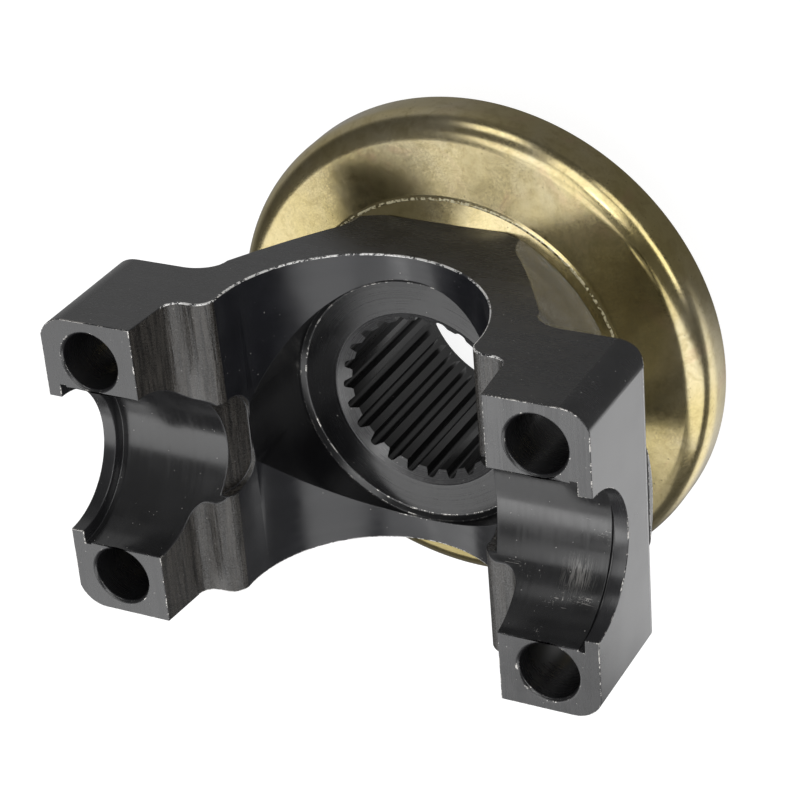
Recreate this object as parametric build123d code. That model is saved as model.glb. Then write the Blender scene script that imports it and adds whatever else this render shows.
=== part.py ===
from build123d import *
import math
import os

# Forged end yoke for a driveshaft joint, with its pressed-on stamped dust shield.
# Millimetres. The yoke stands on the end face of its hub, and Z runs up its bore to the ears.
# X runs along the bearing caps, from ear to ear. The milled sides face -Y and +Y.

# Bearing caps and their saddles
cap_diameter = 30.16          # diameter of the bearing cap that each saddle holds
lip_spacing = 92.08           # between the two retaining lips, over the caps' ends
lip_thickness = 2.46          # from each lip's inner face to the outer face of its ear
lip_height = 2.05             # how far each lip stands in from the saddle
groove_width = 1.1            # relief groove at the foot of each lip
groove_depth = 0.35

# U-bolt holes
bolt_hole_diameter = 10.3
bolt_hole_wall = 0.41         # metal between each hole and the saddle beside it
bolt_hole_inset = 6.44        # from each lip's inner face in to the holes of its ear
hole_chamfer = 0.4

# Ears
saddle_height = 76.0          # from the end face of the hub to the caps' axis and the ear fronts
side_wall = 2.15              # metal between each hole and the milled side
ear_corner_radius = 5.2       # outer upright corners of the ears
ear_corner_cut = 0.3          # how much the milled outer face takes off those round corners
nut_seat_depth = 22.9         # from the ear fronts down to the nut seats under them
ear_edge_radius = 2.2         # rounded forged edge under the outer face of each ear
backing_thickness = 10.9      # metal under each saddle
backing_inset = 0.5           # how far the backing ends short of the outer face
backing_edge = 1.5            # bevel at both ends of the backing
web_width = 18.0              # web that carries the backing down to the body
web_inset = 3.0               # from the outer face of the ear in to the web's upper end
web_foot_inset = 2.0          # how deep the foot of each web runs into the body
web_edge_radius = 4.0

# Space between the ears
lug_length = 14.99            # from each lip's inner face in to the inner face of the lugs
lug_draft = 4.5               # forging draft of those faces, degrees
lug_step_depth = 11.3         # from the ear fronts to the forged step behind the lugs
lug_step_width = 7.85         # how far the step stands in from the lugs
lug_step_radius = 2.8
throat_wall = 3.35            # upright wall from the step down to the milled clearance
throat_flat = 0.17            # straight part of it that the rounded edge of the step leaves
clearance_cut = 0.1           # how far the clearance cuts into the forged throat
slot_width = 17.6             # forged slot inside each saddle
slot_drop = 5.12              # from the bottom of the saddle down to the floor of the slot
slot_mouth_cut = 1.7          # how far it cuts into the throat, level with the saddle's bottom
slot_floor_cut = 0.35         # the same at its floor
slot_corner_radius = 5.0

# Socket pocket, nut seat and splined bore
pocket_diameter = 46.8        # room for the socket round the pinion nut
pocket_step = 1.05            # from the bottom of the clearance down to the nut seat
pocket_chamfer = 0.8
lead_margin = 0.95            # how far the countersunk mouth reaches outside the tooth spaces
lead_depth = 1.75
spline_teeth = 24
spline_minor_diameter = 29.0
spline_depth = 1.2
space_top_width = 2.3         # tooth space at the minor diameter
space_bottom_width = 1.1      # tooth space at its bottom
space_bottom_radius = 0.6
relief_margin = 1.4           # plain mouth of the bore outside the tops of the splines
relief_depth = 4.0

# Hub and forged body
seal_diameter = 44.45         # ground journal that the oil seal runs on
seal_chamfer = 1.5
seat_step = 1.275             # how far the dust shield's seat stands out from the journal
seat_length = 3.0
shoulder_height = 24.7        # from the end face of the hub to the shoulder behind the ears
neck_diameter = 63.4          # body just above the shoulder
shoulder_chamfer = 1.6
neck_height = 4.6             # from the shoulder up to where the flare starts
neck_flat = 0.57              # upright part that the blend into the flare leaves
flare_inset = 8.6             # from the outer face of each ear in to the top of the flare
flare_fillet = 4.4

# Dust shield
shield_thickness = 1.6
dish_diameter = 55.6          # flat centre that lies on the shoulder
step_width = 3.9              # sloping step round the flat centre
step_drop = 1.96
flange_drop = 3.6             # how far the flange slopes back to the corner of the rim
shield_diameter = 91.4
rim_depth = 7.1               # from the corner of the rim to its edge
rim_radius = 4.8

cap_radius = cap_diameter / 2
half_span = lip_spacing / 2 + lip_thickness
bolt_spacing = cap_diameter + bolt_hole_diameter + 2 * bolt_hole_wall
bolt_row_spacing = lip_spacing - 2 * bolt_hole_inset
side_width = bolt_spacing + bolt_hole_diameter + 2 * side_wall
nut_seat_height = saddle_height - nut_seat_depth
lug = lip_spacing / 2 - lug_length
throat = lug - lug_step_width
clearance_radius = throat + clearance_cut
step_height = saddle_height - lug_step_depth
clearance_centre = step_height - throat_wall
pocket_floor = clearance_centre - clearance_radius - pocket_step
bore_top = pocket_floor - lead_depth
spline_minor = spline_minor_diameter / 2
spline_major = spline_minor + spline_depth
neck = neck_diameter / 2
flare = half_span - flare_inset
seat_diameter = seal_diameter + 2 * seat_step
over = 5.0                    # how far cutters run past the metal
standing = (Align.CENTER, Align.CENTER, Align.MIN)
hanging = (Align.CENTER, Align.CENTER, Align.MAX)


def on_axis_x(radius, x_from, x_to):
    """A cylinder on the caps' axis, between two places along X."""
    turned = Cylinder(radius, abs(x_to - x_from), rotation=(0, 90, 0))
    return Pos((x_from + x_to) / 2, 0, saddle_height) * turned


def along_y(profile, width):
    """A solid of a profile drawn in X and Z, running along Y about the middle plane."""
    return extrude(profile, width / 2, both=True)


def forged_body():
    """The round form of the forging: shoulder, neck, flare and the fillet under the ears."""
    neck_top = shoulder_height + neck_height
    flare_top = nut_seat_height - flare_fillet
    turn = math.atan2(flare - neck, flare_top - neck_top)
    blend = (neck_height - shoulder_chamfer - neck_flat) / math.tan(turn / 2)
    with BuildSketch(Plane.XZ) as section:
        with BuildLine():
            outline = Polyline(
                (0, nut_seat_height), (0, shoulder_height), (neck - shoulder_chamfer, shoulder_height),
                (neck, shoulder_height + shoulder_chamfer), (neck, neck_top), (flare, flare_top))
            RadiusArc(outline @ 1, (flare + flare_fillet, nut_seat_height), flare_fillet)
            Line((flare + flare_fillet, nut_seat_height), (0, nut_seat_height))
        make_face()
        fillet(section.vertices().sort_by_distance((neck, neck_top))[0], blend)
    return revolve(section.sketch, Axis.Z)


def ear_block():
    """The two ears in one block, before the space between them is cut."""
    middle = nut_seat_height + nut_seat_depth / 2
    with BuildSketch(Plane.XZ) as front:
        with Locations((0, middle)):
            Rectangle(2 * half_span, nut_seat_depth)
        fillet(front.vertices().group_by(Axis.Y)[0], ear_edge_radius)
    with BuildSketch(Plane.XY.offset(nut_seat_height)) as plan:
        RectangleRounded(2 * (half_span + ear_corner_cut), side_width, ear_corner_radius)
    return along_y(front.sketch, side_width) & extrude(plan.sketch, nut_seat_depth)


def saddle_backing():
    """The thickened back of each saddle, and the web that carries it down to the body."""
    radius = cap_radius + backing_thickness
    end = half_span - backing_inset
    bar = on_axis_x(radius, -end, end)
    bar = chamfer(bar.edges().filter_by(GeomType.CIRCLE), backing_edge)
    below = Pos(0, 0, nut_seat_height) * Box(2 * half_span, side_width, 2 * radius, align=hanging)
    reach = half_span - web_inset
    foot = neck - web_foot_inset
    foot_height = shoulder_height + neck_height
    with BuildSketch(Plane.XZ) as side:
        Polygon(
            (-reach, nut_seat_height), (-foot, foot_height), (foot, foot_height),
            (reach, nut_seat_height), align=None)
    web = along_y(side.sketch, web_width)
    slopes = web.faces().sort_by(Axis.X)
    slope_edges = slopes[0].edges() + slopes[-1].edges()
    web = fillet([e for e in slope_edges if abs(e.tangent_at(0).Y) < 0.5], web_edge_radius)
    return (bar & below) + web


def throat_cutter():
    """The forged space between the lugs, open at the front, as one profile along Y."""
    top = saddle_height + over
    lug_foot = lug - lug_step_depth * math.tan(math.radians(lug_draft))
    with BuildSketch(Plane.XZ) as profile:
        Polygon(
            (-lug, top), (-lug, saddle_height), (-lug_foot, step_height), (-throat, step_height),
            (-throat, clearance_centre), (throat, clearance_centre), (throat, step_height),
            (lug_foot, step_height), (lug, saddle_height), (lug, top), align=None)
        for x in (-lug_foot, lug_foot):
            fillet(profile.vertices().sort_by_distance((x, step_height))[0], lug_step_radius)
        for x in (-throat, throat):
            edge = profile.vertices().sort_by_distance((x, step_height))[0]
            fillet(edge, throat_wall - throat_flat)
    return along_y(profile.sketch, side_width + 2 * over)


def slot_cutter():
    """The forged slot that opens each saddle to the space between the ears."""
    mouth = throat + slot_mouth_cut
    foot = throat + slot_floor_cut
    level = saddle_height - cap_radius
    floor = level - slot_drop
    top = mouth + (mouth - foot) / (level - floor) * (saddle_height + over - level)
    with BuildSketch(Plane.XZ) as profile:
        Polygon(
            (-foot, floor), (foot, floor), (top, saddle_height + over),
            (-top, saddle_height + over), align=None)
    slot = along_y(profile.sketch, slot_width)
    return fillet(slot.edges().group_by(Axis.Z)[0].filter_by(Axis.X), slot_corner_radius)


def saddle_cutters():
    """The two bored saddles, the grooves at their ends and the mouths of the lips."""
    lip = lip_spacing / 2
    seat_end = lip - groove_width
    cutters = on_axis_x(cap_radius, -seat_end, seat_end)
    for side in (-1, 1):
        cutters += on_axis_x(cap_radius + groove_depth, side * seat_end, side * lip)
        cutters += on_axis_x(cap_radius - lip_height, side * lip, side * (half_span + over))
    return cutters


def bolt_hole_cutters():
    """Four through holes for the U-bolts, chamfered at the ear fronts."""
    radius = bolt_hole_diameter / 2
    drill = Cylinder(radius, nut_seat_depth + 2 * over, align=standing)
    mouth = Cone(radius, radius + hole_chamfer, hole_chamfer, align=standing)
    hole = Pos(0, 0, nut_seat_height - over) * drill + Pos(0, 0, saddle_height - hole_chamfer) * mouth
    return [place * hole for place in GridLocations(bolt_row_spacing, bolt_spacing, 2, 2)]


def pocket_cutter():
    """Socket pocket down to the nut seat, and the countersunk mouth of the splines."""
    pocket = Cylinder(pocket_diameter / 2, saddle_height - pocket_floor, align=standing)
    pocket = chamfer(pocket.edges().sort_by(Axis.Z)[0], pocket_chamfer)
    lead_in = Cone(spline_minor, spline_major + lead_margin, lead_depth, align=standing)
    return Pos(0, 0, pocket_floor) * pocket + Pos(0, 0, bore_top) * lead_in


def splined_bore_cutter():
    """The bore at its minor diameter, a space between each pair of teeth, and the plain mouth."""
    foot = spline_minor - spline_depth
    foot_width = 2 * space_top_width - space_bottom_width
    with BuildSketch() as section:
        Circle(spline_minor)
        with PolarLocations(0, spline_teeth):
            Polygon(
                (foot, -foot_width / 2), (spline_major, -space_bottom_width / 2),
                (spline_major, space_bottom_width / 2), (foot, foot_width / 2), align=None)
        halfway = (spline_minor + spline_major) / 2
        fillet([v for v in section.vertices() if math.hypot(v.X, v.Y) > halfway], space_bottom_radius)
    bore = extrude(section.sketch, pocket_floor)
    return bore + Cylinder(spline_major + relief_margin, relief_depth, align=standing)


def hub():
    """The journal below the shoulder, with the seat that the dust shield is pressed on."""
    journal = Cylinder(seal_diameter / 2, shoulder_height + over, align=standing)
    journal = chamfer(journal.edges().sort_by(Axis.Z)[0], seal_chamfer)
    seat = Cylinder(seat_diameter / 2, seat_length + over, align=standing)
    return journal + Pos(0, 0, shoulder_height - seat_length) * seat


def make_yoke():
    sides = Box(2 * half_span + over, side_width, 2 * saddle_height)
    solid = (forged_body() + saddle_backing()) & sides
    solid = solid + ear_block() + hub()
    drum = Cylinder(clearance_radius, side_width + 2 * over, rotation=(90, 0, 0))
    clearance = Pos(0, 0, clearance_centre) * drum
    solid = solid - clearance - throat_cutter() - slot_cutter()
    solid = solid - pocket_cutter() - saddle_cutters() - splined_bore_cutter()
    return solid - bolt_hole_cutters()


def inside_corner(before, corner, after):
    """Where the sheet's inner line turns, under a corner of its outer line."""
    first = (corner - before).normalized()
    second = (after - corner).normalized()
    inward = (first + second).rotate(Axis.Z, -90).normalized()
    half_turn = math.radians(first.get_angle(second) / 2)
    return corner + inward * (shield_thickness / math.cos(half_turn))


def make_dust_shield():
    """A dish of one sheet: flat centre on the shoulder, sloping step, flange and turned rim."""
    dish = dish_diameter / 2
    step = dish + step_width
    outer = shield_diameter / 2
    flange_height = shoulder_height - step_drop
    corner_height = flange_height - flange_drop
    edge_height = corner_height - rim_depth
    line = [
        Vector(seat_diameter / 2, shoulder_height), Vector(dish, shoulder_height),
        Vector(step, flange_height), Vector(outer, corner_height), Vector(outer, edge_height)]
    inner_line = [inside_corner(*line[i - 1:i + 2]) for i in (1, 2, 3)]
    bore_end = line[0] - Vector(0, shield_thickness)
    edge_end = line[4] - Vector(shield_thickness, 0)
    with BuildSketch(Plane.XZ) as section:
        Polygon(*line, edge_end, *reversed(inner_line), bore_end, align=None)
        corners = section.vertices().sort_by_distance(Vector(outer, corner_height))
        fillet(corners[0], rim_radius)
        under = section.vertices().sort_by_distance(inner_line[2])
        fillet(under[0], rim_radius - shield_thickness)
    return revolve(section.sketch, Axis.Z)


os.makedirs("parts", exist_ok=True)
export_step(make_yoke(), "parts/yoke.step")
export_step(make_dust_shield(), "parts/dust_shield.step")
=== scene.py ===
import math

import bmesh
import bpy
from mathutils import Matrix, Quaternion, Vector


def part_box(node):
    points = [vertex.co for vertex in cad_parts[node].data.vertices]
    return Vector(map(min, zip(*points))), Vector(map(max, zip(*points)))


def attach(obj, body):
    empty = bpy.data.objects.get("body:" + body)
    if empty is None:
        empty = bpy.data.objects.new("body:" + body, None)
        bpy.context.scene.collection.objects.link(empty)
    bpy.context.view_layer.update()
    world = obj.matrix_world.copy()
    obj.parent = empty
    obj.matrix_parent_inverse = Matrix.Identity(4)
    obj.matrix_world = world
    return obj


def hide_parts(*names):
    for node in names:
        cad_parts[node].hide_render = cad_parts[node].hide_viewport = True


# Forged end yoke with its pressed-on dust shield. Named lengths and places are in millimetres;
# the scene is in metres, in the frame of the CAD model: Z up the bore, X along the caps.
MM = 0.001

# Places on the yoke that its finishes are told apart by
EAR_FRONT = 76.0
OUTER = 48.5
NUT_SEAT = 53.1
GROOVE_RADIUS = 15.43
LIP_FACE = 46.04
SADDLE_START = 24.0
EARS_ABOVE = 55.0
CORNER_X = 42.0
CORNER_Y = 22.3
BOLT_X = 39.6
BOLT_Y = 20.64
BOLT_RADIUS = 5.15
CLEARANCE_RADIUS = 23.3
CLEARANCE_CENTRE = 61.35
POCKET_RADIUS = 23.4
POCKET_FLOOR = 37.0
POCKET_TOP = 62.0
BORE_TOP = 35.25
MOUTH_RADIUS = 17.1
SHOULDER = 24.7
HUB_RADIUS = 23.5
BODY_RADIUS = 24.5
BODY_TOP = 52.0
LUG = 31.05

# Where a bearing cap has rubbed in a saddle
RUB_X = 40.2
RUB_Y = -9.4
RUB_LONG = 3.4
RUB_WIDE = 2.9

# Rounding of the yoke's edges
EDGE_ROUND = 0.16
BURR_ROUND = 0.27
SHARP_ANGLE = math.radians(24)
FLAT_ANGLE = math.radians(0.3)
WELD = 0.002

# The dust shield's section: radii, heights and roundings
SHEET = 1.6
DISH_RADIUS = 27.8
DISH_INSIDE = 27.46
BEAD_START = (31.2, 22.99)
BEAD_TOP = (31.55, 22.97)
FLANGE_START = (31.95, 22.58)
FLANGE_INSIDE = (31.49, 21.10)
FLANGE_END = 20.50
RIM_RADIUS = 45.7
RIM_INSIDE = 44.1
RIM_INSIDE_TOP = 19.12
RIM_EDGE = 12.04
RIM_CORNER = 0.18
PRESS_ROUND = 0.8
BEAD_ROUND = 0.12
BEAD_TOP_ROUND = 0.14
RIM_ROUND = 5.2
RIM_EDGE_ROUND = 0.16
ARC_STEP = 0.35
AROUND = 288

# The painted highlight: a bright line painted on the shield's bead
PAINTED_HIGHLIGHT_RADIUS = 31.45
PAINTED_HIGHLIGHT_LOW = 22.2
PAINTED_HIGHLIGHT_HIGH = 22.5

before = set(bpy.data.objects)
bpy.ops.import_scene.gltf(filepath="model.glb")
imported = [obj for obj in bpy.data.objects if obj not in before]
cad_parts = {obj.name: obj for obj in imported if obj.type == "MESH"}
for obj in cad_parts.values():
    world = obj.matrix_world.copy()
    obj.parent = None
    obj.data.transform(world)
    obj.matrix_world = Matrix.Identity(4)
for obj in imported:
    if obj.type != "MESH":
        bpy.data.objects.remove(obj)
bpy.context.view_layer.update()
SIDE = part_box("yoke")[1].y / MM


# Shader building

class Nodes:
    """Adds nodes to one node tree and joins them."""

    def __init__(self, tree):
        self.tree = tree

    def give(self, socket, value):
        """Joins another node's output to the socket, or sets the socket to a constant."""
        if isinstance(value, bpy.types.NodeSocket):
            self.tree.links.new(value, socket)
        else:
            socket.default_value = value

    def add(self, kind, inputs=None, **settings):
        made = self.tree.nodes.new(kind)
        for name, value in settings.items():
            setattr(made, name, value)
        for name, value in (inputs or {}).items():
            self.give(made.inputs[name], value)
        return made

    def math(self, operation, first, second=0.0, third=0.0):
        return self.add("ShaderNodeMath", {0: first, 1: second, 2: third}, operation=operation).outputs[0]

    def hypotenuse(self, first, second):
        squares = self.math("ADD", self.math("MULTIPLY", first, first), self.math("MULTIPLY", second, second))
        return self.math("SQRT", squares)

    def span(self, value, low, high, out_low=0.0, out_high=1.0):
        """value taken from low..high to out_low..out_high, with soft ends."""
        inputs = {"Value": value, "From Min": low, "From Max": high, "To Min": out_low, "To Max": out_high}
        return self.add("ShaderNodeMapRange", inputs, interpolation_type="SMOOTHSTEP").outputs["Result"]

    def noise(self, where, scale, detail=3.0, roughness=0.55, distortion=0.0):
        """Cloudy noise; a scale of 1 makes blots about a millimetre wide."""
        inputs = {"Vector": where, "Scale": scale, "Detail": detail, "Roughness": roughness,
                  "Distortion": distortion}
        return self.add("ShaderNodeTexNoise", inputs).outputs["Fac"]

    def blend(self, factor, first, second):
        """A colour between first and second."""
        made = self.tree.nodes.new("ShaderNodeMix")
        made.data_type = "RGBA"
        colour_sockets = (made.inputs[0], made.inputs[6], made.inputs[7])
        for socket, value in zip(colour_sockets, (factor, first, second)):
            self.give(socket, value)
        return made.outputs[2]

    def either(self, factor, first, second):
        """The second node's shader where factor is 1, and the first's where it is 0."""
        inputs = {0: factor, 1: first.outputs[0], 2: second.outputs[0]}
        return self.add("ShaderNodeMixShader", inputs)

    def ramp(self, factor, stops):
        """A colour from a line of (place, colour) stops."""
        made = self.add("ShaderNodeValToRGB", {"Fac": factor})
        elements = made.color_ramp.elements
        while len(elements) < len(stops):
            elements.new(0.5)
        for element, (place, colour) in zip(elements, stops):
            element.position = place
            element.color = (*colour, 1.0)
        return made.outputs["Color"]

    def place(self):
        """The place on the surface in millimetres."""
        return self.stretched(self.add("ShaderNodeTexCoord").outputs["Object"], (1 / MM, 1 / MM, 1 / MM))

    def stretched(self, where, factors):
        return self.add("ShaderNodeVectorMath", {0: where, 1: factors}, operation="MULTIPLY").outputs[0]

    def split(self, where):
        return self.add("ShaderNodeSeparateXYZ", {0: where}).outputs


def new_group(name, inputs, outputs):
    """A shader node group with its sockets, and the tools to fill it. An input of None is a vector."""
    tree = bpy.data.node_groups.new(name, "ShaderNodeTree")
    for socket, default in inputs:
        kind = "NodeSocketVector" if default is None else "NodeSocketFloat"
        made = tree.interface.new_socket(name=socket, in_out="INPUT", socket_type=kind)
        if default is not None:
            made.default_value = default
    for socket in outputs:
        tree.interface.new_socket(name=socket, in_out="OUTPUT", socket_type="NodeSocketFloat")
    given = tree.nodes.new("NodeGroupInput").outputs
    result = tree.nodes.new("NodeGroupOutput").inputs
    return tree, Nodes(tree), given, result


def forged_grain():
    """The uneven, dimpled skin of hot forged steel under thin paint."""
    tree, nodes, given, result = new_group(
        "forged grain", [("Place", None), ("Dimple", 1.0), ("Relief", 1.0)], ["Height", "Stain"])
    size = nodes.math("DIVIDE", 1.0, given["Dimple"])
    dimples = nodes.noise(given["Place"], size, 3.0, 0.55)
    waves = nodes.noise(given["Place"], 0.11, 2.0, 0.5)
    fine = nodes.noise(given["Place"], nodes.math("MULTIPLY", size, 4.3), 2.0, 0.6)
    total = nodes.math("MULTIPLY_ADD", waves, 1.5, nodes.math("MULTIPLY", dimples, 0.55))
    total = nodes.math("MULTIPLY_ADD", fine, 0.10, total)
    nodes.give(result["Height"], nodes.math("MULTIPLY", total, given["Relief"]))
    stain = nodes.noise(given["Place"], 0.16, 4.0, 0.62)
    nodes.give(result["Stain"], nodes.span(stain, 0.35, 0.68))
    return tree


def tool_marks():
    """Fine lines left by a cutter, across one coordinate of the surface."""
    tree, nodes, given, result = new_group(
        "tool marks", [("Across", 0.0), ("Along", 0.0), ("Spacing", 0.2)], ["Height", "Tone"])
    across = nodes.math("DIVIDE", given["Across"], given["Spacing"])
    along = nodes.math("MULTIPLY", given["Along"], 0.03)
    where = nodes.add("ShaderNodeCombineXYZ", {0: across, 1: along, 2: 0.0}).outputs[0]
    lines = nodes.noise(where, 1.0, 2.0, 0.6)
    broad = nodes.noise(nodes.stretched(where, (0.17, 0.5, 1.0)), 1.0, 2.0, 0.5)
    nodes.give(result["Height"], nodes.math("ADD", lines, nodes.math("MULTIPLY", broad, 0.7)))
    nodes.give(result["Tone"], nodes.span(nodes.math("ADD", lines, broad), 0.7, 1.35))
    return tree


def edge_wear():
    """Where the paint has rubbed or chipped off an edge, over about a given share of its length."""
    tree, nodes, given, result = new_group("edge wear", [("Place", None), ("Share", 0.5)], ["Bare"])
    patches = nodes.noise(given["Place"], 0.55, 5.0, 0.68)
    ragged = nodes.noise(given["Place"], 3.4, 3.0, 0.6)
    value = nodes.math("ADD", patches, nodes.math("MULTIPLY", ragged, 0.55))
    level = nodes.math("SUBTRACT", 1.10, nodes.math("MULTIPLY", given["Share"], 0.6))
    nodes.give(result["Bare"], nodes.span(nodes.math("SUBTRACT", value, level), 0.0, 0.05))
    return tree


def specks():
    """Scattered specks of dust and small chips."""
    tree, nodes, given, result = new_group(
        "specks", [("Place", None), ("Size", 0.25), ("Share", 0.1)], ["Mask"])
    scale = nodes.math("DIVIDE", 0.35, given["Size"])
    cells = nodes.add("ShaderNodeTexVoronoi", {"Vector": given["Place"], "Scale": scale})
    chance = nodes.split(cells.outputs["Color"])
    keep = nodes.math("LESS_THAN", chance[0], given["Share"])
    radius = nodes.math("MULTIPLY_ADD", chance[1], 0.26, 0.06)
    dot = nodes.math("LESS_THAN", cells.outputs["Distance"], radius)
    nodes.give(result["Mask"], nodes.math("MULTIPLY", keep, dot))
    return tree


def scratches():
    """Short handling scratches down to the steel, in patches."""
    tree, nodes, given, result = new_group("scratches", [("Place", None), ("Share", 0.3)], ["Bare"])
    patches = nodes.noise(given["Place"], 0.13, 3.0, 0.6)
    first = nodes.noise(nodes.stretched(given["Place"], (0.45, 5.5, 5.5)), 1.0, 2.0, 0.6, 0.5)
    second = nodes.noise(nodes.stretched(given["Place"], (5.0, 0.7, 2.0)), 1.0, 2.0, 0.6, 0.8)
    lines = nodes.math("MAXIMUM", first, second)
    value = nodes.math("MULTIPLY_ADD", patches, 0.75, lines)
    level = nodes.math("SUBTRACT", 1.32, nodes.math("MULTIPLY", given["Share"], 0.30))
    nodes.give(result["Bare"], nodes.span(nodes.math("SUBTRACT", value, level), 0.0, 0.06))
    return tree


FORGED_GRAIN = forged_grain()
TOOL_MARKS = tool_marks()
EDGE_WEAR = edge_wear()
SPECKS = specks()
SCRATCHES = scratches()


def use(nodes, tree, **inputs):
    """Places one of the shared effects in a material."""
    return nodes.add("ShaderNodeGroup", inputs, node_tree=tree).outputs


def new_material(name):
    material = bpy.data.materials.new(name)
    material.use_nodes = True
    material.node_tree.nodes.clear()
    nodes = Nodes(material.node_tree)
    shader = nodes.add("ShaderNodeBsdfPrincipled")
    nodes.add("ShaderNodeOutputMaterial", {"Surface": shader.outputs[0]})
    return material, nodes, shader


def bump(nodes, height, depth):
    """A normal from a height; depth is what a height of 1 stands for, in millimetres."""
    return nodes.add("ShaderNodeBump", {"Height": height, "Distance": depth * MM}).outputs["Normal"]


def join(nodes, shader, **inputs):
    """Gives the shader its inputs, named with _ for each space."""
    for name, value in inputs.items():
        nodes.give(shader.inputs[name.replace("_", " ")], value)


# Finishes

BARE = (0.62, 0.60, 0.57, 1)
SHINING_BURR = (0.92, 0.91, 0.89, 1)
EDGE_PAINT = (0.024, 0.024, 0.026, 1)
PAINT_IOR = 1.75


def paint_over_forging(name, dark, light, dimple, relief, rough, streaks=0.0, ior=PAINT_IOR):
    """Satin black paint over the as-forged skin. streaks draws it out along Y, as the die left it.

    dimple is the width of the dimples in millimetres, and relief multiplies their depth.
    """
    material, nodes, shader = new_material(name)
    place = nodes.place()
    grain = use(nodes, FORGED_GRAIN, Place=place, Dimple=dimple, Relief=relief)
    dots = use(nodes, SPECKS, Place=place, Size=0.16, Share=0.02)["Mask"]
    drawn = nodes.noise(nodes.stretched(place, (1.5, 0.10, 1.5)), 1.0, 3.0, 0.6)
    grit = nodes.noise(place, 3.6, 3.0, 0.7)
    streak = nodes.span(nodes.math("MULTIPLY_ADD", grit, 0.5, drawn), 0.55, 0.95)
    stain = nodes.blend(streaks, grain["Stain"], streak)
    colour = nodes.blend(stain, (*dark, 1), (*light, 1))
    colour = nodes.blend(nodes.math("MULTIPLY", dots, 0.35), colour, BARE)
    gloss = nodes.span(grit, 0.3, 0.7, *rough)
    height = nodes.math("MULTIPLY_ADD", drawn, streaks * 1.8, grain["Height"])
    height = nodes.math("MULTIPLY_ADD", grit, 0.12 + streaks * 0.45, height)
    join(nodes, shader, Base_Color=colour, Roughness=gloss, IOR=ior, Normal=bump(nodes, height, 0.1))
    return material


def rubbed_by_cap(nodes, place):
    """Fine bright lines in the saddle at +X, beside the groove, where a cap has turned and rubbed."""
    x, y, _ = nodes.split(place)
    along = nodes.math("DIVIDE", nodes.math("SUBTRACT", x, RUB_X), RUB_LONG)
    across = nodes.math("DIVIDE", nodes.math("SUBTRACT", y, RUB_Y), RUB_WIDE)
    patch = nodes.span(nodes.hypotenuse(along, across), 0.1, 1.25, 0.42, 0.0)
    lines = nodes.noise(nodes.stretched(place, (7.0, 0.35, 0.35)), 1.0, 3.0, 0.65)
    lines = nodes.span(nodes.math("MULTIPLY_ADD", patch, 0.25, lines), 0.5, 0.72)
    return nodes.math("MULTIPLY", patch, lines)


def paint_over_cut(name, tone, rough, across, spacing, depth, speck_share=0.012, scratched=0.0,
                   ior=PAINT_IOR, cap_rub=False):
    """Black paint over a cut surface. across is the axis that the cutter's lines cross, or out.

    spacing and depth are those of the lines, in millimetres.
    """
    material, nodes, shader = new_material(name)
    place = nodes.place()
    x, y, z = nodes.split(place)
    if across == "out":
        over, along = nodes.hypotenuse(x, y), z
    else:
        axes = {"x": x, "y": y, "z": z}
        over = axes.pop(across)
        along = nodes.math("ADD", *axes.values())
    marks = use(nodes, TOOL_MARKS, Across=over, Along=along, Spacing=spacing)
    dots = use(nodes, SPECKS, Place=place, Size=0.12, Share=speck_share)["Mask"]
    cloud = nodes.span(nodes.noise(place, 0.16, 4.0, 0.62), 0.3, 0.7)
    dark = tuple(part * 0.72 for part in tone)
    colour = nodes.blend(cloud, (*dark, 1), (*tone, 1))
    colour = nodes.blend(nodes.math("MULTIPLY", dots, 0.5), colour, BARE)
    if scratched:
        rubs = use(nodes, SCRATCHES, Place=place, Share=scratched)["Bare"]
        if cap_rub:
            rubs = nodes.math("MULTIPLY", rubs, nodes.span(x, -5.0, 5.0))
            rubs = nodes.math("MAXIMUM", rubs, rubbed_by_cap(nodes, place))
        colour = nodes.blend(rubs, colour, BARE)
        join(nodes, shader, Metallic=nodes.math("MULTIPLY", rubs, 0.7))
    gloss = nodes.span(nodes.math("MULTIPLY_ADD", cloud, 0.6, marks["Tone"]), 0.2, 1.4, *rough)
    normal = bump(nodes, marks["Height"], depth)
    join(nodes, shader, Base_Color=colour, Roughness=gloss, IOR=ior, Normal=normal)
    return material


def rubbed_edge(name, share, bare_colour=BARE, metal=1.0, rough=0.3):
    """An edge of the cuts, its thin paint chipped to bright steel over a share of its length."""
    material, nodes, shader = new_material(name)
    bare = use(nodes, EDGE_WEAR, Place=nodes.place(), Share=share)["Bare"]
    join(nodes, shader, Base_Color=nodes.blend(bare, EDGE_PAINT, bare_colour), IOR=PAINT_IOR,
         Metallic=nodes.math("MULTIPLY", bare, metal), Roughness=nodes.span(bare, 0.0, 1.0, 0.26, rough))
    return material


def bright_steel():
    """The ground journal that the oil seal runs on, left bare."""
    material, nodes, shader = new_material("ground_steel")
    place = nodes.place()
    x, y, z = nodes.split(place)
    marks = use(nodes, TOOL_MARKS, Across=z, Along=nodes.math("ADD", x, y), Spacing=0.12)
    stain = nodes.span(nodes.noise(place, 0.25, 4.0, 0.6), 0.35, 0.7)
    colour = nodes.blend(stain, (0.50, 0.49, 0.47, 1), (0.62, 0.61, 0.60, 1))
    gloss = nodes.span(marks["Tone"], 0.0, 1.0, 0.2, 0.34)
    normal = bump(nodes, marks["Height"], 0.004)
    join(nodes, shader, Base_Color=colour, Metallic=1.0, Roughness=gloss, Normal=normal)
    return material


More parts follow.
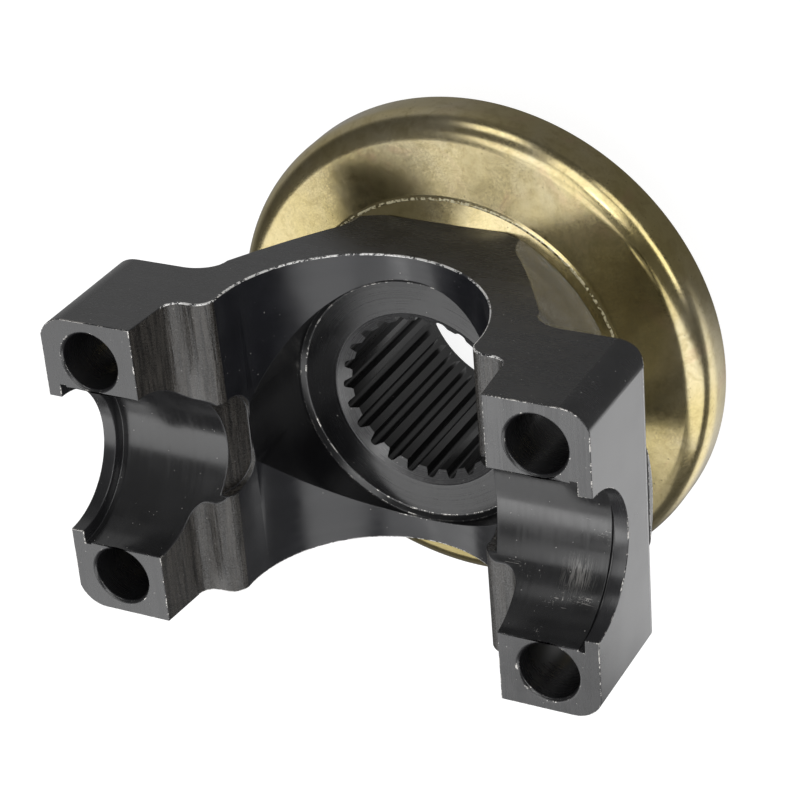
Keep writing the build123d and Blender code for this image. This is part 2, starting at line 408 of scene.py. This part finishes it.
def bend_painted_highlight(nodes, place):
    """A painted highlight: a broken bright line painted round the shield, on the bead where its step meets
    the flange.
    """
    x, y, z = nodes.split(place)
    from_line = nodes.math("ABSOLUTE", nodes.math("SUBTRACT", nodes.hypotenuse(x, y), PAINTED_HIGHLIGHT_RADIUS))
    on_top = nodes.span(z, PAINTED_HIGHLIGHT_LOW, PAINTED_HIGHLIGHT_HIGH)
    line = nodes.math("MULTIPLY", nodes.span(from_line, 0.14, 0.32, 1.0, 0.0), on_top)
    broken = nodes.span(nodes.noise(place, 1.3, 3.0, 0.7), 0.44, 0.56)
    return nodes.math("MULTIPLY", line, broken)


def yellow_chromate():
    """Yellow chromate over zinc: gold, with olive, pink and pale clouds, smudges, a few pits, and a painted
    highlight on the bead.
    """
    material, nodes, shader = new_material("yellow_chromate")
    place = nodes.place()
    cloud = nodes.noise(place, 0.040, 4.0, 0.55, 0.5)
    tint = nodes.noise(place, 0.09, 3.0, 0.55, 1.2)
    grain = nodes.noise(place, 2.6, 3.0, 0.6)
    colour = nodes.ramp(cloud, [
        (0.28, (0.40, 0.32, 0.13)),
        (0.42, (0.53, 0.44, 0.20)),
        (0.55, (0.60, 0.505, 0.27)),
        (0.72, (0.64, 0.56, 0.36)),
    ])
    pink = nodes.span(tint, 0.56, 0.75, 0.0, 0.30)
    colour = nodes.blend(pink, colour, (0.60, 0.36, 0.24, 1))
    pits = use(nodes, SPECKS, Place=place, Size=0.16, Share=0.06)["Mask"]
    colour = nodes.blend(nodes.math("MULTIPLY", pits, 0.55), colour, (0.16, 0.13, 0.07, 1))
    smudge = nodes.span(nodes.noise(place, 0.42, 5.0, 0.68, 0.6), 0.42, 0.72, 0.0, 0.42)
    colour = nodes.blend(smudge, colour, (0.37, 0.29, 0.12, 1))
    # Painted highlight: the bead's bright line is painted pale gold and made less metallic
    painted_highlight = bend_painted_highlight(nodes, place)
    colour = nodes.blend(painted_highlight, colour, (0.95, 0.87, 0.58, 1))
    gloss = nodes.span(nodes.math("MULTIPLY_ADD", cloud, 0.8, grain), 0.6, 1.2, 0.13, 0.25)
    ripple = nodes.math("MULTIPLY_ADD", grain, 0.06, nodes.noise(place, 0.16, 2.0, 0.5))
    join(nodes, shader, Base_Color=colour, Metallic=nodes.span(painted_highlight, 0.0, 1.0, 1.0, 0.35),
         Roughness=gloss, Normal=bump(nodes, ripple, 0.05))
    return material


# The yoke's surface

def finish_of(centre, normal):
    """Which finish a face of the yoke has, from its place in millimetres and its direction.

    The first test that a face meets decides. The small numbers in the tests are slack.
    """
    x, y, z = abs(centre.x), abs(centre.y), centre.z
    out = math.hypot(x, y)
    from_caps = math.hypot(y, z - EAR_FRONT)
    from_clearance = math.hypot(x, z - CLEARANCE_CENTRE)
    from_bolt = math.hypot(x - BOLT_X, y - BOLT_Y)
    inward = normal.x * centre.x + normal.y * centre.y < 0
    upright = abs(normal.z) < 0.3
    if z < SHOULDER + 0.1 and MOUTH_RADIUS - 0.3 < out < HUB_RADIUS + 0.3:
        in_mouth = inward and out < MOUTH_RADIUS + 0.3 and abs(normal.z) < 0.9
        return "bore" if in_mouth else "journal"
    if z < BORE_TOP - 0.05 and out < MOUTH_RADIUS:
        return "bore"
    if z < POCKET_FLOOR - 0.02 and out < MOUTH_RADIUS:
        return "countersink"
    if from_bolt < BOLT_RADIUS + 0.45 and NUT_SEAT + 0.05 < z < EAR_FRONT - 0.05:
        return "drilled"
    if z > EAR_FRONT - 0.02 and normal.z > 0.99:
        return "ear_front"
    if y > SIDE - 0.02 and abs(normal.y) > 0.99:
        return "side"
    if abs(z - NUT_SEAT) < 0.05 and normal.z < -0.99:
        return "nut_seat"
    if x > SADDLE_START and from_caps < GROOVE_RADIUS + 0.1 and z > EARS_ABOVE:
        return "lip" if x > LIP_FACE - 0.05 else "saddle"
    if x > OUTER - 0.02 and abs(normal.x) > 0.99:
        return "outer"
    if x > CORNER_X and y > CORNER_Y and z > NUT_SEAT and upright:
        return "corner"
    if z < POCKET_FLOOR + 1.0 and out < POCKET_RADIUS:
        return "pocket"
    if abs(out - POCKET_RADIUS) < 0.2 and inward and upright and z < POCKET_TOP:
        return "pocket"
    on_clearance = abs(from_clearance - CLEARANCE_RADIUS) < 0.2 and z < CLEARANCE_CENTRE + 0.2
    if on_clearance and abs(normal.y) < 0.2 and y < SIDE:
        return "clearance"
    if x < LUG + 0.1 and z > EARS_ABOVE:
        return "forged_inner"
    if z < BODY_TOP and out > BODY_RADIUS:
        return "flank"
    return "forged"


def burr_at(centre):
    """The milled sides' edges along the clearance and the lug's step, where a burr shines through."""
    x, y, z = abs(centre.x), abs(centre.y), centre.z
    from_clearance = math.hypot(x, z - CLEARANCE_CENTRE)
    beside = abs(from_clearance - CLEARANCE_RADIUS) < 0.6 and z < CLEARANCE_CENTRE + 0.3
    on_step = x < LUG - 0.5 and z > CLEARANCE_CENTRE
    return y > SIDE - 0.45 and (beside or on_step)


def edge_finish_of(centre):
    """Which finish a rounded edge of the yoke has, from its place in millimetres."""
    x, y, z = abs(centre.x), abs(centre.y), centre.z
    if math.hypot(x - BOLT_X, y - BOLT_Y) < BOLT_RADIUS + 1.3 and z > EAR_FRONT - 1.6:
        return "hole_edge"
    if z > EAR_FRONT - 0.5:
        return "front_edge"
    if burr_at(centre):
        return "burr"
    if abs(math.hypot(x, y) - POCKET_RADIUS) < 1.2 and z < POCKET_FLOOR + 2:
        return "seat_edge"
    if x > OUTER - 0.6:
        return "front_edge"
    return "edge"


def yoke_finishes():
    """The yoke's materials, by the names that finish_of and edge_finish_of give."""
    return {
        "forged": paint_over_forging(
            "forged_skin", (0.020, 0.018, 0.016), (0.038, 0.034, 0.029), 1.15, 1.3, (0.22, 0.36)),
        "forged_inner": paint_over_forging(
            "forged_gap", (0.010, 0.009, 0.008), (0.062, 0.056, 0.049), 0.9, 1.5, (0.18, 0.46), 0.9),
        "side": paint_over_cut(
            "milled_side", (0.030, 0.030, 0.031), (0.24, 0.32), "z", 0.35, 0.0016, scratched=0.25),
        "ear_front": paint_over_cut(
            "milled_front", (0.032, 0.032, 0.034), (0.22, 0.32), "x", 0.3, 0.0016, 0.02, scratched=0.3),
        # Lighter grey on the ear ends: partly a thinner paint film, partly painted sheen standing in for the
        # bright floor's reflection
        "outer": paint_over_cut(
            "ear_end_thin_paint_and_painted_sheen", (0.200, 0.200, 0.208), (0.26, 0.34), "y", 0.5, 0.0014, 0.03, scratched=0.2, ior=2.2),
        "corner": paint_over_cut(
            "ear_corner", (0.022, 0.022, 0.023), (0.20, 0.28), "z", 0.4, 0.0014, 0.02, scratched=0.2),
        "saddle": paint_over_cut(
            "bored_saddle", (0.022, 0.022, 0.023), (0.17, 0.26), "x", 0.16, 0.0012, 0.015,
            scratched=0.62, cap_rub=True),
        "lip": paint_over_cut("lip", (0.022, 0.022, 0.024), (0.20, 0.28), "x", 0.2, 0.0014),
        "drilled": paint_over_cut("drilled_hole", (0.012, 0.012, 0.013), (0.24, 0.34), "z", 0.3, 0.006, 0.0),
        "clearance": paint_over_cut(
            "milled_clearance", (0.018, 0.0185, 0.022), (0.19, 0.27), "y", 0.25, 0.0012, 0.010, ior=1.62),
        "pocket": paint_over_cut(
            "turned_pocket", (0.009, 0.009, 0.010), (0.20, 0.30), "out", 0.2, 0.0014, 0.004, ior=1.6),
        # Painted reflection: the flank's black paint is lightened and tinted gold for the shield that it
        # faces
        "flank": paint_over_forging(
            "forged_flank_painted_reflection", (0.045, 0.041, 0.031), (0.110, 0.098, 0.072), 0.6, 16.0, (0.16, 0.26), ior=3.4),
        "countersink": paint_over_cut(
            "countersink", (0.09, 0.09, 0.092), (0.26, 0.34), "out", 0.2, 0.0014, 0.03),
        "bore": paint_over_cut(
            "splined_bore", (0.006, 0.006, 0.006), (0.24, 0.34), "out", 0.3, 0.0014, 0.004, ior=1.42),
        "journal": bright_steel(),
        "nut_seat": paint_over_cut("nut_seats", (0.022, 0.022, 0.023), (0.26, 0.36), "x", 0.3, 0.003),
        "edge": rubbed_edge("edges", 0.10),
        "front_edge": rubbed_edge("ear_edges", 0.52),
        "burr": rubbed_edge("burred_edges", 0.62, SHINING_BURR, metal=0.4, rough=0.35),
        "hole_edge": rubbed_edge("hole_edges", 0.32),
        "seat_edge": rubbed_edge("seat_edges", 0.45, rough=0.24),
    }


def yoke_surface():
    """The yoke's form with its cut edges rounded by a hair, and a finish on every face."""
    finishes = yoke_finishes()
    order = list(finishes)
    form = bmesh.new()
    form.from_mesh(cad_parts["yoke"].data)
    bmesh.ops.remove_doubles(form, verts=form.verts, dist=WELD * MM)
    bmesh.ops.dissolve_limit(form, angle_limit=FLAT_ANGLE, verts=form.verts, edges=form.edges)
    for face in form.faces:
        face.material_index = order.index(finish_of(face.calc_center_median() / MM, face.normal))

    def middle(edge):
        return (edge.verts[0].co + edge.verts[1].co) / 2 / MM

    def sharp(edge):
        return len(edge.link_faces) == 2 and edge.calc_face_angle() > SHARP_ANGLE

    def in_bore(edge):
        place = middle(edge)
        return math.hypot(place.x, place.y) < MOUTH_RADIUS - 0.6 and place.z < POCKET_FLOOR - 0.05

    def round_off(edges, width, finish):
        made = bmesh.ops.bevel(form, geom=edges, offset=width * MM, segments=2, profile=0.5,
                               affect="EDGES", clamp_overlap=False, material=order.index(finish))
        return set(made["faces"])

    burrs = [edge for edge in form.edges if sharp(edge) and burr_at(middle(edge))]
    burr_faces = round_off(burrs, BURR_ROUND, "burr")
    cut = [edge for edge in form.edges
           if sharp(edge) and not in_bore(edge) and not burr_faces & set(edge.link_faces)]
    for face in round_off(cut, EDGE_ROUND, "edge"):
        if face.material_index == order.index("edge"):
            face.material_index = order.index(edge_finish_of(face.calc_center_median() / MM))
    for face in form.faces:
        face.smooth = True
    for edge in form.edges:
        if sharp(edge) and in_bore(edge):
            edge.smooth = False
    mesh = bpy.data.meshes.new("yoke_surface")
    form.to_mesh(mesh)
    form.free()
    for material in finishes.values():
        mesh.materials.append(material)
    made = bpy.data.objects.new("yoke_surface", mesh)
    bpy.context.scene.collection.objects.link(made)
    weighted = made.modifiers.new("even_normals", "WEIGHTED_NORMAL")
    weighted.weight = 50
    weighted.keep_sharp = True
    return made


# The dust shield

def rounded_line(corners):
    """Points along a line of (radius, height, rounding) corners, each turned on its own arc."""
    points = [Vector(corners[0][:2])]
    for before, (x, z, rounding), after in zip(corners, corners[1:], corners[2:]):
        corner = Vector((x, z))
        back = (Vector(before[:2]) - corner).normalized()
        onward = (Vector(after[:2]) - corner).normalized()
        half = back.angle(onward) / 2
        reach = rounding / math.tan(half)
        centre = corner + (back + onward).normalized() * (rounding / math.sin(half))
        start = corner + back * reach - centre
        turn = math.pi - 2 * half
        sign = 1 if back.x * onward.y - back.y * onward.x < 0 else -1
        steps = max(3, round(rounding * turn / ARC_STEP))
        for step in range(steps + 1):
            angle = sign * turn * step / steps
            turned = Vector((start.x * math.cos(angle) - start.y * math.sin(angle),
                             start.x * math.sin(angle) + start.y * math.cos(angle)))
            points.append(centre + turned)
    points.append(Vector(corners[-1][:2]))
    return points


def dust_shield():
    """The pressed dish turned about the bore: flat centre, sloping step, bead, flange and rim."""
    outer = [
        (HUB_RADIUS, SHOULDER, 0),
        (DISH_RADIUS, SHOULDER, PRESS_ROUND),
        (*BEAD_START, BEAD_ROUND),
        (*BEAD_TOP, BEAD_TOP_ROUND),
        (*FLANGE_START, BEAD_ROUND),
        (RIM_RADIUS, FLANGE_END, RIM_ROUND),
        (RIM_RADIUS, RIM_EDGE + RIM_EDGE_ROUND, RIM_EDGE_ROUND),
        (RIM_RADIUS - RIM_CORNER, RIM_EDGE, 0),
    ]
    inner = [
        (RIM_INSIDE + RIM_CORNER, RIM_EDGE, 0),
        (RIM_INSIDE, RIM_EDGE + RIM_EDGE_ROUND, RIM_EDGE_ROUND),
        (RIM_INSIDE, RIM_INSIDE_TOP, RIM_ROUND - SHEET),
        (*FLANGE_INSIDE, PRESS_ROUND),
        (DISH_INSIDE, SHOULDER - SHEET, PRESS_ROUND),
        (HUB_RADIUS, SHOULDER - SHEET, 0),
    ]
    profile = rounded_line(outer) + rounded_line(inner)
    count = len(profile)
    turns = [2 * math.pi * i / AROUND for i in range(AROUND)]
    verts = [(p.x * MM * math.cos(turn), p.x * MM * math.sin(turn), p.y * MM)
             for turn in turns for p in profile]
    faces = []
    for i in range(AROUND):
        here, there = i * count, (i + 1) % AROUND * count
        for j in range(count):
            k = (j + 1) % count
            faces.append((here + j, there + j, there + k, here + k))
    mesh = bpy.data.meshes.new("shield_sheet")
    mesh.from_pydata(verts, [], faces)
    mesh.validate()
    for polygon in mesh.polygons:
        polygon.use_smooth = True
    mesh.materials.append(yellow_chromate())
    made = bpy.data.objects.new("shield_sheet", mesh)
    bpy.context.scene.collection.objects.link(made)
    return made


# Studio, in metres

LAMP_AIM = Vector((0, 0, 0.04))
FLOOR_HALF = 3.0
CAMERA_PLACE = (0.182418, 0.214866, 0.373255)
CAMERA_AIM = Vector((-0.42371, -0.48883, -0.76257))
CAMERA_ROLL = math.radians(-136.223)
CAMERA_LENS = 115.467


def studio_floor():
    """A white floor with the part's shadow. Glossy rays see painted light instead: a darker glow, two painted
    pools of light, and a brighter painted glow under the part.
    """
    mesh = bpy.data.meshes.new("floor")
    corners = [(-1, -1), (1, -1), (1, 1), (-1, 1)]
    mesh.from_pydata([(x * FLOOR_HALF, y * FLOOR_HALF, 0) for x, y in corners], [], [(0, 1, 2, 3)])
    material = bpy.data.materials.new("pale_floor")
    material.use_nodes = True
    material.node_tree.nodes.clear()
    nodes = Nodes(material.node_tree)
    rays = nodes.add("ShaderNodeLightPath").outputs
    place = nodes.add("ShaderNodeTexCoord").outputs["Object"]

    def painted_light_pool(x, y, wide, deep, strength):
        """A painted pool of light on the floor, placed in metres, that only glossy surfaces show."""
        moved = nodes.add("ShaderNodeVectorMath", {0: place, 1: (x, y, 0)}, operation="SUBTRACT").outputs[0]
        scaled = nodes.add("ShaderNodeVectorMath", {0: moved, 1: (wide, deep, 1)}, operation="DIVIDE")
        reach = nodes.add("ShaderNodeVectorMath", {0: scaled.outputs[0]}, operation="LENGTH").outputs["Value"]
        return nodes.span(reach, 0.5, 1.25, strength, 0.0)

    painted_pools = nodes.math("ADD", painted_light_pool(0.082, -0.036, 0.042, 0.052, 1.35), painted_light_pool(-0.090, 0.075, 0.09, 0.09, 0.2))
    # Painted light: the floor glows brighter to glossy rays under the part, round the bore, than farther out
    from_bore = nodes.add("ShaderNodeVectorMath", {0: place}, operation="LENGTH").outputs["Value"]
    painted_floor_light = nodes.math("ADD", painted_pools, nodes.span(from_bore, 0.025, 0.05, 0.6, 0.16))
    white = nodes.add("ShaderNodeEmission", {"Strength": 0.9})
    faint = nodes.add("ShaderNodeBsdfDiffuse", {"Color": (0.28, 0.28, 0.28, 1)})
    painted_glow = nodes.add("ShaderNodeEmission", {"Strength": painted_floor_light})
    matt = nodes.add("ShaderNodeBsdfDiffuse", {"Color": (0.8, 0.8, 0.8, 1)})
    seen = nodes.add("ShaderNodeAddShader", {0: faint.outputs[0], 1: white.outputs[0]})
    unseen = nodes.either(rays["Is Glossy Ray"], matt, painted_glow)
    both = nodes.either(rays["Is Camera Ray"], unseen, seen)
    nodes.add("ShaderNodeOutputMaterial", {"Surface": both.outputs[0]})
    mesh.materials.append(material)
    made = bpy.data.objects.new("floor", mesh)
    bpy.context.scene.collection.objects.link(made)


def studio_world():
    """White where the camera sees it, and a low grey fill on the part, a little brighter overhead."""
    world = bpy.data.worlds.new("studio")
    bpy.context.scene.world = world
    world.use_nodes = True
    world.node_tree.nodes.clear()
    nodes = Nodes(world.node_tree)
    rays = nodes.add("ShaderNodeLightPath").outputs
    height = nodes.split(nodes.add("ShaderNodeTexCoord").outputs["Generated"])[2]
    seen = nodes.add("ShaderNodeBackground", {"Strength": 1.0})
    fill = nodes.add("ShaderNodeBackground", {"Strength": nodes.span(height, -0.2, 0.8, 0.10, 0.16)})
    both = nodes.either(rays["Is Camera Ray"], fill, seen)
    nodes.add("ShaderNodeOutputWorld", {"Surface": both.outputs[0]})


def lamp(name, azimuth, elevation, distance, width, height, radiance):
    """A soft lamp of plain white, aimed at the part. radiance 1 shows as white in a mirror."""
    light = bpy.data.lights.new(name, "AREA")
    light.shape = "RECTANGLE"
    light.size = width
    light.size_y = height
    light.energy = radiance * math.pi * width * height
    made = bpy.data.objects.new(name, light)
    bpy.context.scene.collection.objects.link(made)
    around, up = math.radians(azimuth), math.radians(elevation)
    away = Vector((math.cos(up) * math.cos(around), math.cos(up) * math.sin(around), math.sin(up)))
    made.location = LAMP_AIM + away * distance
    made.rotation_euler = (-away).to_track_quat("-Z", "Y").to_euler()
    made.visible_camera = False


def studio_lamps():
    """Softboxes round the part, set to the reflections that the photograph shows."""
    lamp("left_softbox", 214, 40, 0.9, 0.47, 1.05, 1.45)
    lamp("back_softbox", 255, 62, 0.9, 0.55, 0.38, 1.2)
    lamp("back_low_softbox", 275, 34, 0.9, 0.45, 0.40, 0.4)
    lamp("back_left_softbox", 243, 32, 0.9, 0.30, 0.50, 0.9)
    lamp("right_softbox", 326, 39, 0.9, 0.52, 1.02, 1.55)
    lamp("side_softbox", 22, 15, 0.9, 0.36, 0.20, 2.5)
    lamp("front_softbox", 60, 38, 1.0, 0.52, 0.46, 1.85)
    lamp("front_low_softbox", 45, 13, 1.0, 0.38, 0.24, 1.9)
    lamp("far_low_softbox", 98, 20, 1.0, 0.34, 0.30, 2.0)
    lamp("high_softbox", 100, 66, 1.0, 0.55, 0.40, 1.7)
    lamp("overhead_softbox", 200, 87, 0.9, 0.36, 0.36, 1.6)
    lamp("camera_lamp", 52, 52, 1.0, 0.14, 0.14, 6.0)


def studio_camera():
    camera = bpy.data.cameras.new("camera")
    camera.lens = CAMERA_LENS
    camera.sensor_width = 36.0
    camera.sensor_fit = "HORIZONTAL"
    camera.clip_start = 0.01
    camera.clip_end = 20
    made = bpy.data.objects.new("camera", camera)
    bpy.context.scene.collection.objects.link(made)
    made.location = CAMERA_PLACE
    roll = Quaternion((0, 0, 1), CAMERA_ROLL)
    made.rotation_euler = (CAMERA_AIM.to_track_quat("-Z", "Y") @ roll).to_euler()
    bpy.context.scene.camera = made


surface = yoke_surface()
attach(surface, "root")
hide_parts("yoke")

shield = dust_shield()
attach(shield, "root")
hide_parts("dust_shield")

studio_floor()
studio_world()
studio_lamps()
studio_camera()
bpy.context.scene.view_settings.view_transform = "Standard"
